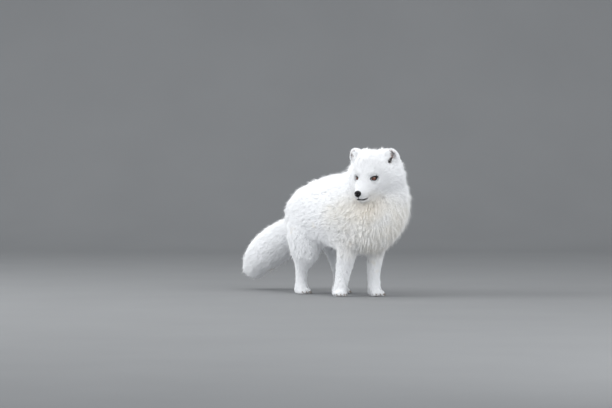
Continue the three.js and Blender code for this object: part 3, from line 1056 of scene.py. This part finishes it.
def lay_locks(name, chosen, weights, bend, over, thick):
    """Bends the unit lock along every path and gives it its patch of the colour map."""
    root, first, second, tip = bend
    x, y, z = LOCK_POINTS.T
    t = z[None, :, None]
    path = ((1 - t) ** 3 * root[:, None] + 3 * (1 - t) ** 2 * t * first[:, None]
            + 3 * (1 - t) * t ** 2 * second[:, None] + t ** 3 * tip[:, None])
    along = (3 * (1 - t) ** 2 * (first - root)[:, None] + 6 * (1 - t) * t * (second - first)[:, None]
             + 3 * t ** 2 * (tip - second)[:, None])
    across = unit(np.cross(along, np.broadcast_to(over[:, None], along.shape)))
    upward = unit(np.cross(across, along))
    thick = thick[:, None] * np.interp(z, *LOCK_WIDTHS)[None]
    where = (path + across * (x * thick)[..., None]
             + upward * (y * thick * LOCK_FLATNESS)[..., None])
    where[..., 2] = np.maximum(where[..., 2], ROOM_ABOVE_FLOOR)

    spot = (unwrapped[chosen] * weights[:, :, None]).sum(1)
    patch = np.stack([x * 0.5, z - 0.5], 1) * PATCH
    place = np.clip(spot[:, None] + patch[None], 0, 1)
    # Painted shade on the face at the root, with a quarter of random tone.
    shade_and_tone = 0.75 * at(clear_of_face_shade, chosen, weights) + 0.25 * chance.random(len(root))
    shade_and_tone = np.repeat(shade_and_tone[:, None], len(z), 1)
    return lock_mesh(name, where, place, shade_and_tone, np.broadcast_to(z, shade_and_tone.shape))


print("a lock's patch is", PATCH, "of the colour map across")

# %% [markdown]
# ## Growing a coat piece
# Each lock leaves the skin steeply, leans over, and ends lying along the coat's outside.
# Neighbouring locks are drawn towards a shared leader, and a little towards the leader of a
# wider group, because real fur gathers into points. Some leaders stand proud of the rest and
# take their neighbours along, which gives the soft broken outline. Half the locks are wool:
# wider, shorter and hidden under the others, so that no skin shows between them.

# %% Grow a piece
outside_tree = BVHTree.FromPolygons(outside.tolist(), surface.faces.tolist())
skin_normals = surface.normals(beneath)
WOOL_SHARE, TUFT_CROWDS = 0.5, 5
PROUD_SHARE, PROUD_GATHER, PROUD_WIDTH = 0.35, 0.5, 1.3
FULL_DEPTH = 12 * MM  # where the fur is shorter, leaders stand less proud


def land(points, directions, lift):
    """The nearest places on the coat's outside, lifted off it, with the lie there."""
    landed, lain = np.empty_like(points), np.empty_like(points)
    for k, point in enumerate(points):
        spot, normal, *_ = outside_tree.find_nearest(point)
        landed[k] = spot + normal * lift[k]
        lain[k] = normal
    flat = directions - lain * (directions * lain).sum(1, keepdims=True)
    return landed, unit(flat)


def choose_leaders(roots, long, crowd):
    """Which long lock each lock follows, one for every `crowd` locks."""
    leaders = chance.choice(np.flatnonzero(long), max(1, len(roots) // crowd), replace=False)
    tree = KDTree(len(leaders))
    for k, leader in enumerate(leaders):
        tree.insert(roots[leader], k)
    tree.balance()
    return leaders, leaders[[tree.find(root)[1] for root in roots]]


def grow(name, share, count, width, reach=(5, 1.0), gather=0.3, crowd=10, stand=7.0,
         wander=0.12, rise=0.08, least=0.15, tuft=0.12):
    """A coat piece: locks of a width and reach, gathered in crowds, standing up to `stand`."""
    chosen, weights = scatter(share, count)
    root, above, way = (at(values, chosen, weights) for values in (beneath, outside, lie))
    out, over = (unit(at(values, chosen, weights)) for values in (skin_normals, normals))
    way = unit(way - over * (way * over).sum(1, keepdims=True))
    deep = np.linalg.norm(above - root, axis=1)
    way = unit(way + np.cross(over, way) * chance.normal(0, wander, (count, 1)))
    length = (reach[0] * MM + reach[1] * deep) * chance.uniform(0.6, 1.25, count)
    length = (length * at(brevity, chosen, weights))[:, None]

    wool = chance.random(count) < WOOL_SHARE
    leaders, nearest = choose_leaders(above, ~wool, crowd)
    lift = chance.uniform(-1.2, 0.6, count)
    proud = leaders[chance.random(len(leaders)) < PROUD_SHARE]
    lift[proud] = chance.uniform(0.3, 1.0, len(proud)) ** 1.3 * stand
    lift *= MM * np.clip(deep / FULL_DEPTH, least, 1.0)
    lift[wool] = -deep[wool] * chance.uniform(0.02, 0.08, wool.sum())
    tip, way_there = land(above + way * length, way, lift)

    follows_proud = np.isin(nearest, proud)
    _, nearest_tuft = choose_leaders(above, ~wool, crowd * TUFT_CROWDS)
    strength = np.where(follows_proud, PROUD_GATHER, gather) * chance.uniform(0.4, 1.25, count)
    strength = np.clip(strength * np.where(wool, 0.15, 1), 0, 0.95)[:, None]
    tip += (tip[nearest] - tip) * strength
    tip += (tip[nearest_tuft] - tip) * tuft * np.where(wool, 0.2, 1)[:, None]
    first = root + out * deep[:, None] * 0.8 + way * length * 0.15
    second = tip - way_there * length * 0.42 - over * deep[:, None] * rise
    thick = MM * width * chance.uniform(0.6, 1.3, count) * np.where(wool, 1.3, 0.9)
    thick *= np.where(follows_proud & ~wool, PROUD_WIDTH, 1)
    return lay_locks(name, chosen, weights, (root, first, second, tip), over, thick)


print(f"ready to grow: {PROUD_SHARE:.0%} of the leaders will stand proud")

# %% [markdown]
# ## The coat, piece by piece
# The coat is grown in nine pieces and the ears' tufts, so that each stays a manageable mesh. A
# piece takes the faces of the skin that lie on its own solids. The face has the finest and
# shortest locks, the mane and brush the longest.

# %% Share the skin out and grow
middle_owner = owner[surface.faces[:, 0]]
centres = outside[surface.faces].mean(1)
face_zone = whole_face(centres)


def on(*starts):
    return np.isin(middle_owner, [k for k, n in enumerate(flesh) if n.startswith(starts)])


on_head = on("head", "muzzle", "lower_jaw")
left_half = centres[:, 1] > 0.01
trunk = {"count": 18500, "tuft": 0.06}
mane = {**trunk, "width": 0.6, "stand": 14, "gather": 0.26}
coat = [
    grow("coat_face", on_head & face_zone, 17000, 0.34, reach=(4.5, 1.1), gather=0.2, crowd=9,
         stand=1.5, wander=0.2, rise=0.4, tuft=0.0),
    grow("coat_crown", on_head & ~face_zone, 14500, 0.5, stand=11, rise=0.15),
    grow("coat_ears", on("ear"), 8500, 0.36, reach=(6, 1.7), crowd=9, stand=6.0, rise=0.3,
         least=0.5),
    grow("coat_mane_left", on("neck") & left_half, **mane),
    grow("coat_mane_right", on("neck") & ~left_half, **mane),
    grow("coat_back", on("chest", "loin"), width=0.7, stand=9, **trunk),
    grow("coat_rump", on("rump", "hindleg_left_upper", "hindleg_right_upper"), width=0.7,
         stand=10, **trunk),
    grow("coat_brush", on("tail"), width=0.65, stand=10, **trunk),
    grow("coat_legs", on("fore", "hindpaw", "hindleg_left_lower", "hindleg_right_lower"), 15500,
         0.5, gather=0.4, crowd=9, rise=0.2, stand=8, least=0.45),
]
print("grown", len(coat), "pieces")

# %% [markdown]
# ## Hair in the ears
# Long pale hairs grow from the front edge of a fox's ear and lie across the bare opening. They
# are rooted on that edge and stand free of the ear's bowl, so they get paths of their own.


# %% Grow the ear tufts
def ear_tufts(count):
    """Long hairs from the ears' front edges, straight across the openings."""
    inner = np.zeros(surface.count)
    lateral, opening = np.zeros((2, surface.count, 3))
    for name in SIDES:
        x, y, z = in_ear(name, outside).T / MM
        edge = 1 - smooth(np.hypot((y * SIDES[name] + 14) / 7, z / 28), 0.6, 1.1)
        mine = by_node([(f"ear_{name}", 1), ("head", 0.6), ("", 0)], owner)
        mine = mine * (np.abs(x) < 22) * (np.linalg.norm([x, y, z], axis=0) < 45)
        inner = np.maximum(inner, edge * mine)
        here = mine > 0
        lateral[here] = np.array(ear_place(name).col[1].to_3d()) * SIDES[name]
        opening[here] = np.array(ear_place(name).col[0].to_3d())
    weight = inner[surface.faces].min(1)
    pile = np.cumsum(triangle_area * weight)
    chosen = np.searchsorted(pile, chance.random(count) * pile[-1])
    weights = np.full((count, 3), 1 / 3)
    root = at(beneath, chosen, weights)
    out = unit(at(opening, chosen, weights))
    way = unit(at(lateral, chosen, weights) * 0.9 + np.array(HEAD_UP) * 0.45 + out * 0.35
               + chance.normal(0, 0.2, (count, 3)))
    length = (chance.uniform(9, 21, count) * MM)[:, None]
    first = root + (out * 0.4 + way * 0.2) * length
    second = root + (out * 0.35 + way * 0.6) * length
    tip = root + (way * 0.95 + out * 0.1) * length
    thick = 0.3 * MM * chance.uniform(0.6, 1.3, count)
    return lay_locks("coat_ear_tufts", chosen, weights, (root, first, second, tip), out, thick)


coat.append(ear_tufts(1100))
total = sum(len(piece.data.polygons) for piece in coat)
print("the coat has", total, "triangles in", len(coat), "pieces")

# %% [markdown]
# ## Finishes of eye, nose and claw
# A fox's iris is amber, darker at its rim and streaked from the pupil outwards, and the pupil is an
# upright slit. The whole ball is wet. The nose is black pebbled leather with a wet shine. Claws are
# dark horn with paler streaks. The eye's pattern is painted by two values on the ball's own points,
# the distance to the side and upwards from the line of sight.

# %% Mix the eye, the leather and the horn
EYE_FINISH, tree, shader, place = finish(
    "amber eye", 0.25, Coat_Weight=1.0, Coat_Roughness=0.03, Coat_IOR=1.38)
side, up = stored(tree, "gaze_side"), stored(tree, "gaze_up")
wide = sums(tree, "MULTIPLY", side, side)
reach = sums(tree, "SQRT", sums(tree, "ADD", wide, sums(tree, "MULTIPLY", up, up)), 0.0)
slit = sums(tree, "ADD", sums(tree, "MULTIPLY", wide, 9.0), sums(tree, "MULTIPLY", up, up))
slit = sums(tree, "SQRT", slit, 0.0)
around = sums(tree, "ARCTAN2", up, side)
rays = tree.nodes.new("ShaderNodeCombineXYZ")
tree.links.new(sums(tree, "MULTIPLY", around, 9.0), rays.inputs["X"])
tree.links.new(sums(tree, "MULTIPLY", reach, 3.0), rays.inputs["Y"])
streaks = noise(tree, rays.outputs["Vector"], 1.6, 4.0)
amber = blend(tree, ramp(tree, streaks, 0.35, 0.65), (0.07, 0.02, 0.012), (0.30, 0.09, 0.038))
amber = blend(tree, ramp(tree, reach, 0.42, 0.72), amber, (0.05, 0.016, 0.009))
amber = blend(tree, ramp(tree, reach, 0.70, 0.76), amber, (0.022, 0.014, 0.012))
amber = blend(tree, ramp(tree, slit, 0.30, 0.36, 1.0, 0.0), amber, (0.004, 0.003, 0.003))
tree.links.new(amber, shader.inputs["Base Color"])

LEATHER, tree, shader, place = finish("nose leather", Coat_Weight=0.06, Coat_Roughness=0.3,
                                      Specular_IOR_Level=0.15)
wear_and_shade = noise(tree, place, 240.0)
tree.links.new(blend(tree, wear_and_shade, (0.003, 0.003, 0.004), (0.011, 0.010, 0.011)),
               shader.inputs["Base Color"])
tree.links.new(ramp(tree, wear_and_shade, 0.3, 0.7, 0.34, 0.5), shader.inputs["Roughness"])
bump(tree, shader, use(tree, pebbles, place, Scale=1150.0), 0.4 * MM, 0.8)

HORN, tree, shader, place = finish("claw horn")
grown = noise(tree, place, 1.0, 3.0, (900, 900, 200))
tree.links.new(blend(tree, grown, (0.10, 0.075, 0.06), (0.3, 0.25, 0.2)),
               shader.inputs["Base Color"])
tree.links.new(ramp(tree, grown, 0.3, 0.7, 0.35, 0.5), shader.inputs["Roughness"])
claws = [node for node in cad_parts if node.startswith("claw")]
for node in claws:
    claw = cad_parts[node]
    claw.data.materials.clear()
    claw.data.materials.append(HORN)
print(len(claws), "claws in horn")


def keep(piece, material, slot, *nodes):
    """Gives a finished piece its material and its place in the object."""
    piece.data.materials.clear()
    piece.data.materials.append(material)
    piece.data.polygons.foreach_set("use_smooth", np.ones(len(piece.data.polygons), bool))
    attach(piece, "root")
    if nodes:
        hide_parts(*nodes)
    return piece


# %% [markdown]
# ## Eyeballs
# Each eye is a whole ball, deep in its socket and only seen through the almond between the
# lids. The clear front of an eye bulges a little, which moves the highlight forward, so the
# ball's points near the line of sight are pushed out. The line of sight lies between straight
# ahead and the socket's own direction.

# %% Make the eyeballs
CLEAR_FRONT, FRONT_SPREAD = 0.5 * MM, 0.11  # how far the front bulges, and how wide


def make_eye(name):
    """A whole ball with its line of sight, and the distance from it stored on its points."""
    bm = bmesh.new()
    bmesh.ops.create_uvsphere(bm, u_segments=64, v_segments=40, radius=EYE_RADIUS)
    out, side, up = (Vector(row) for row in eye_frame(name))
    bmesh.ops.transform(bm, matrix=Matrix((side, up, out)).transposed().to_4x4(), verts=bm.verts)
    sight = (out * 0.8 + HEAD_FORWARD * 0.2).normalized()
    level = sight.cross(HEAD_UP).normalized()
    rise = level.cross(sight)
    gaze = []
    for vert in bm.verts:
        turned = vert.co.normalized()
        gaze.append((turned.dot(level), turned.dot(rise) if turned.dot(sight) > 0 else 1.0))
        vert.co += sight * CLEAR_FRONT * math.exp(-((1 - turned.dot(sight)) / FRONT_SPREAD) ** 2)
    bmesh.ops.translate(bm, verts=bm.verts, vec=EYES[name])
    ball = put(f"eyeball_{name}", bm)
    for k, label in enumerate(("gaze_side", "gaze_up")):
        attribute = ball.data.attributes.new(label, "FLOAT", "POINT")
        attribute.data.foreach_set("value", np.array([pair[k] for pair in gaze], np.float32))
    return keep(ball, EYE_FINISH, "eye", f"eye_{name}")


eyeballs = {name: make_eye(name) for name in EYES}
print("eyeballs of", round(EYE_RADIUS * 2000), "mm")

# %% [markdown]
# ## Lid rims and lips
# The edge of an eyelid is a rounded moist bead, black in a fox, that runs into a tear corner
# by the nose. The lips are a bead too, thick under the nose and fading towards the corner of
# the mouth. Both are curves with a round section that are turned into meshes.


# %% Lay beads along the lids and lips
def tube(name, lines, radius, material, slot):
    """A round bead along lines of (point, width); widths scale the radius."""
    curve = bpy.data.curves.new(name, "CURVE")
    curve.dimensions, curve.bevel_depth, curve.bevel_resolution = "3D", radius, 2
    curve.use_fill_caps = True
    for line, closed in lines:
        spline = curve.splines.new("POLY")
        spline.points.add(len(line) - 1)
        spline.use_cyclic_u = closed
        for spot, (point, width) in zip(spline.points, line):
            spot.co, spot.radius = (*point, 1), width
    maker = bpy.data.objects.new(name, curve)
    bpy.context.scene.collection.objects.link(maker)
    mesh = bpy.data.meshes.new_from_object(maker.evaluated_get(
        bpy.context.evaluated_depsgraph_get()))
    bpy.data.objects.remove(maker)
    piece = bpy.data.objects.new(name, mesh)
    mesh.name = name
    bpy.context.scene.collection.objects.link(piece)
    return keep(piece, material, slot)


def on_ball(name, side, up, clear):
    """A place on an eye's ball, in millimetres from its line of sight, and a little clear of it."""
    out = math.sqrt(max((EYE_RADIUS / MM + clear) ** 2 - side ** 2 - up ** 2, 1.0))
    return Vector(np.array([out, side, up]) * MM @ eye_frame(name)) + EYES[name]


def rim_line(name):
    """The almond's edge on the ball, thicker at the inner corner."""
    line = []
    turn = ALMOND["tilt"]
    for angle in np.linspace(0, 2 * math.pi, 72, endpoint=False):
        c, s = math.cos(angle), math.sin(angle)
        across = ALMOND["half_width"] * math.copysign(abs(c) ** 1.25, c)
        rise = (ALMOND["upper"] if s > 0 else ALMOND["lower"]) * math.copysign(abs(s) ** 1.25, s)
        side = across * math.cos(turn) - rise * math.sin(turn)
        up = across * math.sin(turn) + rise * math.cos(turn)
        width = 0.8 + 0.5 * max(0, -c) ** 4 + 0.4 * max(0, s)
        line.append((on_ball(name, side, up, 0.35), width))
    return line, True


def tear_line(name):
    """From the inner corner towards the nose, narrowing."""
    points = [on_ball(name, -7.4 - 0.8 * k, -1.3 - 0.5 * k, 0.5) for k in range(7)]
    laid = on_the_skin([head_place.inverted() @ point / MM for point in points])
    return [(point, 1.5 - 0.2 * k) for k, point in enumerate(laid)], False


rims = [tube(f"lid_rim_{name}", [rim_line(name), tear_line(name)], 1.05 * MM, LEATHER, "nose")
        for name in EYES]


def smooth_line(points, count=40):
    """An even, rounded line through points."""
    points = np.array(points)
    steps = np.linspace(0, len(points) - 1, count)
    line = np.stack([np.interp(steps, range(len(points)), column) for column in points.T], 1)
    for _ in range(6):
        line[1:-1] = (line[:-2] + 2 * line[1:-1] + line[2:]) / 4
    return line


LIP_WIDTHS = [2.1, 2.1, 0.55, 0.15, 0.08]  # from under the nose to the corner of the mouth


def lip_line(name):
    line = smooth_line(mouth[name])
    widths = np.interp(np.linspace(0, 4, len(line)), range(5), LIP_WIDTHS)
    return [(Vector(point), width) for point, width in zip(line, widths)], False


PHILTRUM = [(61, 0, -29), (60.5, 0, -34), (58.5, 0, -38), (57, 0, -42)]
philtrum = [(Vector(point), 0.75) for point in smooth_line(on_the_skin(PHILTRUM), 12)]
lips = tube("lips", [lip_line("left"), lip_line("right"), (philtrum, False)], 0.85 * MM,
            LEATHER, "nose")
print("beads laid:", len(rims), "rims and the lips")

# %% [markdown]
# ## Nose
# The nose pad is broad above and narrow below, with a groove down its middle and two comma
# nostrils that open forwards and run out to the sides. It starts as a ball; the nostrils and
# the groove are pressed in with smooth dents, as a modeller would with a small ball tool.

# %% Model the nose
NOSE_SIZE = (7.9, 9.9, 9.0)
NOSE_DENTS = [  # middle (forward, side, up), spread (forward, side, up), depth
    ((6.6, 3.6, -0.6), (4.0, 1.5, 1.7), 3.6),
    ((5.4, 6.2, 0.4), (4.0, 1.9, 0.9), 1.9),
    ((3.6, 8.4, -0.4), (4.0, 1.6, 0.7), 1.2),
]


def make_nose():
    """A ball pressed into the shape of the nose pad."""
    bm = bmesh.new()
    bmesh.ops.create_uvsphere(bm, u_segments=72, v_segments=48, radius=1)
    for vert in bm.verts:
        x, y, z = vert.co
        narrow = 1 - 0.25 * smooth(-z, 0.0, 1.0)
        spot = np.array([x * NOSE_SIZE[0], y * NOSE_SIZE[1] * narrow, z * NOSE_SIZE[2]])
        spot[0] += 1.2 * smooth(z, -0.2, 0.9) * max(x, 0)
        inward = 0.0
        for (fore, side, up), spread, depth in NOSE_DENTS:
            for sign in (1, -1):
                away = (spot - [fore, side * sign, up]) / spread
                inward += depth * math.exp(-(away @ away) / 2)
        groove = math.exp(-(spot[1] / 0.55) ** 2) * smooth(spot[0], 1, 5) * smooth(-spot[2], -3, 1)
        inward += 0.9 * groove
        vert.co = Vector(spot - np.array([x, y * 0.4, z * 0.4]) * inward) * MM
    bmesh.ops.transform(bm, matrix=Matrix.Translation(NOSE) @ head_turn, verts=bm.verts)
    return keep(put("nose_pad", bm), LEATHER, "nose", "nose")


nose_pad = make_nose()
print("nose pad has", len(nose_pad.data.polygons), "faces")

# %% [markdown]
# ## Whiskers
# A fox has four or five rows of whiskers on each lip, the longest at the back, and two or
# three stiff hairs over each eye. They are thin tapering beads like the lips', with a small
# dark ball at each root.


# %% Grow the whiskers
WHISKER, tree, shader, place = finish("whisker", 0.4)
tree.links.new(blend(tree, noise(tree, place, 60.0), (0.5, 0.47, 0.43), (0.85, 0.84, 0.82)),
               shader.inputs["Base Color"])


def whisker(root, way, length, width=1.0):
    """The line of one whisker, sagging and tapering."""
    sag = np.array([0, 0, -1.0]) * length * chance.uniform(0.08, 0.2)
    line = [root + way * length * t + sag * t ** 2 for t in np.linspace(0, 1, 10)]
    return [(Vector(p), width * (1 - 0.88 * t)) for p, t in zip(line, np.linspace(0, 1, 10))], False


def whisker_rows(name):
    """The whiskers of one side, and their roots."""
    sign = SIDES[name]
    lines, roots = [], []
    tree = BVHTree.FromPolygons(beneath.tolist(), surface.faces.tolist())
    for row in range(4):
        for k in range(4):
            fore, side, up = 49 - 4.2 * k - 1.2 * row, 12.5 + 1.3 * k, -30 - 3.0 * row + 0.5 * k
            root, normal, *_ = tree.find_nearest(head_place @ (Vector((fore, side * sign, up)) * MM))
            way = normal * 0.75 - HEAD_FORWARD * (0.45 + 0.15 * k) + HEAD_UP * (0.12 - 0.12 * row)
            way = unit(np.array(way) + chance.normal(0, 0.08, 3))
            lines.append(whisker(np.array(root), way, (22 + 9 * k) * MM * chance.uniform(0.85, 1.1)))
            roots.append(root)
    for k in range(3):
        root, normal, *_ = tree.find_nearest(
            head_place @ (Vector((3 - 3 * k, (17 + 3 * k) * sign, 12)) * MM))
        way = unit(np.array(normal * 0.6 + HEAD_UP * 0.8 - HEAD_FORWARD * 0.2))
        lines.append(whisker(np.array(root), way, (22 + 4 * k) * MM, 0.8))
    return lines, roots


def make_follicles(roots):
    bm = bmesh.new()
    for root in roots:
        bmesh.ops.create_icosphere(bm, subdivisions=1, radius=0.8 * MM,
                                   matrix=Matrix.Translation(root))
    return keep(put("follicles", bm), LEATHER, "nose")


rows = [whisker_rows(name) for name in SIDES]
whiskers = tube("whiskers", rows[0][0] + rows[1][0], 0.22 * MM, WHISKER, "coat")
follicles = make_follicles(rows[0][1] + rows[1][1])
print(len(rows[0][0]) * 2, "whiskers")

# %% [markdown]
# ## Floor, backdrop and light
# A white animal needs a ground that is a little darker than it is, or its outline is lost. The
# floor and the backdrop are one pale grey sweep. The light is soft, from a large panel
# overhead and one on each side of the camera, as under a bright overcast sky. The light is
# let through many bounces, because white hair sends nearly all of it on to the next hair.

# %% Build the set
SWEEP_WIDTH, SWEEP_FRONT, SWEEP_BACK, SWEEP_HEIGHT, SWEEP_BEND = 12, 10.5, 4.5, 5, 1.6


def make_sweep():
    bm = bmesh.new()
    bend = [(SWEEP_BACK - SWEEP_BEND + SWEEP_BEND * math.sin(a), SWEEP_BEND * (1 - math.cos(a)))
            for a in np.linspace(0, math.pi / 2, 17)]
    line = [(-SWEEP_FRONT, 0), *bend, (SWEEP_BACK, SWEEP_HEIGHT)]
    row = [bm.verts.new((-SWEEP_WIDTH / 2, y, z)) for y, z in line]
    edges = [bm.edges.new(pair) for pair in zip(row, row[1:])]
    grown = bmesh.ops.extrude_edge_only(bm, edges=edges)
    across = [v for v in grown["geom"] if isinstance(v, bmesh.types.BMVert)]
    bmesh.ops.translate(bm, verts=across, vec=(SWEEP_WIDTH, 0, 0))
    bmesh.ops.recalc_face_normals(bm, faces=bm.faces)
    bmesh.ops.rotate(bm, verts=bm.verts, matrix=Matrix.Rotation(CAMERA_AZIMUTH, 3, "Z"))
    for face in bm.faces:
        face.smooth = True
    return put("floor", bm)


floor = make_sweep()
PAPER, tree, shader, place = finish("floor paper", 0.9)
tree.links.new(blend(tree, noise(tree, place, 3.0), (0.24, 0.245, 0.25), (0.27, 0.275, 0.28)),
               shader.inputs["Base Color"])
floor.data.materials.append(PAPER)
floor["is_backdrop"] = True
print("the sweep is", SWEEP_WIDTH, "by", SWEEP_FRONT + SWEEP_BACK, "metres")

# %% Set the lights

PANEL_SIZE, AIM = 2.2, (0, 0, 0.2)
WHITE_LIGHT, COOL_LIGHT = (1.0, 0.99, 0.97), (0.98, 0.99, 1.0)


def panel(name, place, power, tint):
    """A square lamp that looks at the middle of the fox."""
    light = bpy.data.lights.new(name, "AREA")
    light.shape, light.size, light.energy, light.color = "SQUARE", PANEL_SIZE, power, tint
    lamp = bpy.data.objects.new(name, light)
    lamp.location = place
    lamp.rotation_euler = (Vector(place) - Vector(AIM)).to_track_quat("Z", "Y").to_euler()
    bpy.context.scene.collection.objects.link(lamp)


panel("overhead panel", (0.0, -0.6, 2.6), 17, WHITE_LIGHT)
panel("left panel", (-1.3, -3.1, 1.6), 80, COOL_LIGHT)
panel("right panel", (3.4, -0.2, 1.6), 50, COOL_LIGHT)
world = bpy.data.worlds.new("soft room")
world.use_nodes = True
world.node_tree.nodes["Background"].inputs["Color"].default_value = (0.93, 0.96, 1.0, 1)
world.node_tree.nodes["Background"].inputs["Strength"].default_value = 0.72
bpy.context.scene.world = world
bpy.context.scene.view_settings.view_transform = "Standard"
BOUNCES = 24
bpy.context.scene.cycles.diffuse_bounces = bpy.context.scene.cycles.max_bounces = BOUNCES
print("three panels, and light through", BOUNCES, "bounces")

# %% [markdown]
# ## Sizes
# The last step writes the box of the solids and the box of the finished fox side by side, so
# that it is plain how far the coat's loose ends reach past the solids.

# %% Write the sizes and finish
box = {"cad": cad_bounds, "visual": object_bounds()}
sizes = {name: [list(low), list(high)] for name, (low, high) in box.items()}
print(json.dumps(sizes), f"made in {time.time() - started:.0f} s")
